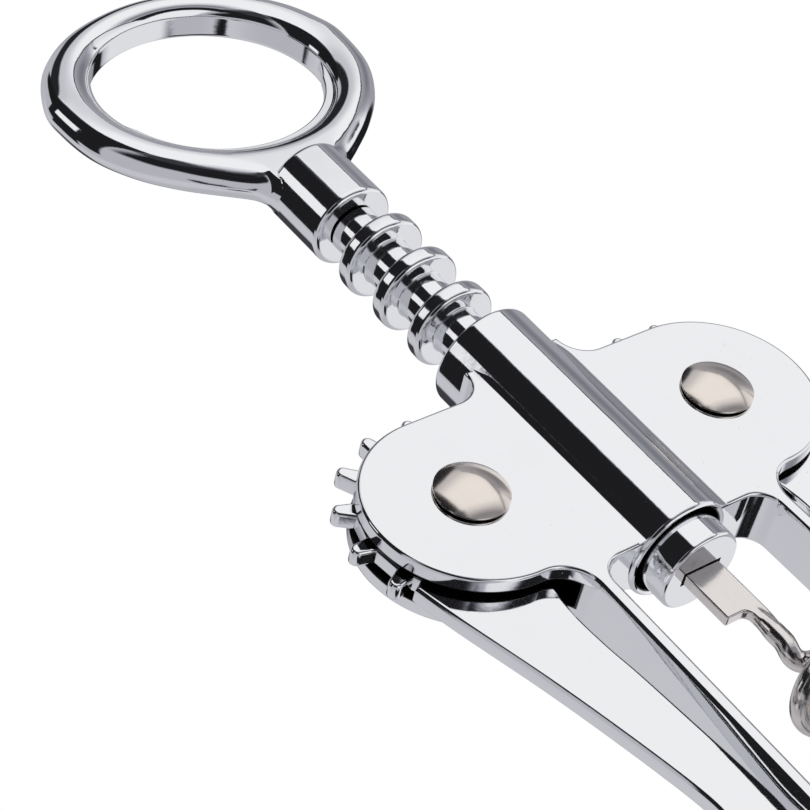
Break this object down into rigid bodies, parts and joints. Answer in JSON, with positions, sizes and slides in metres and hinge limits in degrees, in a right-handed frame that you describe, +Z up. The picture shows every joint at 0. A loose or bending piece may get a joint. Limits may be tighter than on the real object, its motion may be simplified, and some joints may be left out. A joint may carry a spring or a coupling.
{
  "type": "wing corkscrew",
  "caption": "Upright metal corkscrew whose geared wing levers draw a toothed rack and worm up through a bell frame, under a ring handle that also lifts crown caps.",
  "frame": {"origin": "centre of the bell's open rim, on the plane the tool stands on", "axes": "+Z up along the rack and worm; X runs from the left lever's pivot to the right one; Y is along the lever pivots, with the front heads of the rivets on -Y"},
  "size_m": [0.0768, 0.0344, 0.1867],
  "materials": {
    "chrome": "bright chromium plate",
    "nickel": "nickel-plated steel, polished",
    "steel": "plain turned steel"
  },
  "bodies": {
    "frame": {"body_frame": "chrome", "rivet_front_left": "nickel", "rivet_front_right": "nickel", "rivet_rear_left": "nickel", "rivet_rear_right": "nickel"},
    "lever_left": {"lever_left": "chrome"},
    "lever_right": {"lever_right": "chrome"},
    "rack": {"rack_sleeve": "chrome"},
    "handle": {"spindle": "steel", "worm_hub": "chrome", "hub_pin": "steel", "worm": "nickel", "handle_collar": "chrome", "handle_ring": "chrome", "handle_pin": "steel"}
  },
  "joints": [
    {"name": "rack_slide", "type": "slide", "parent": "frame", "child": "rack", "axis": [0, 0, -1], "range_m": [0, 0.0395]},
    {"name": "lever_left_pivot", "type": "hinge", "parent": "frame", "child": "lever_left", "pos_m": [-0.0213, 0, 0.0755], "axis": [0, 1, 0], "range_deg": [0, 118.5]},
    {"name": "lever_right_pivot", "type": "hinge", "parent": "frame", "child": "lever_right", "pos_m": [0.0213, 0, 0.0755], "axis": [0, -1, 0], "range_deg": [0, 118.5]},
    {"name": "handle_spin", "type": "hinge", "parent": "rack", "child": "handle", "pos_m": [0, 0, 0.1], "axis": [0, 0, 1], "continuous": true}
  ],
  "couplings": [
    {"joint": "lever_left_pivot", "follows": "rack_slide", "rad_per_m": 52.36},
    {"joint": "lever_right_pivot", "follows": "rack_slide", "rad_per_m": 52.36}
  ]
}
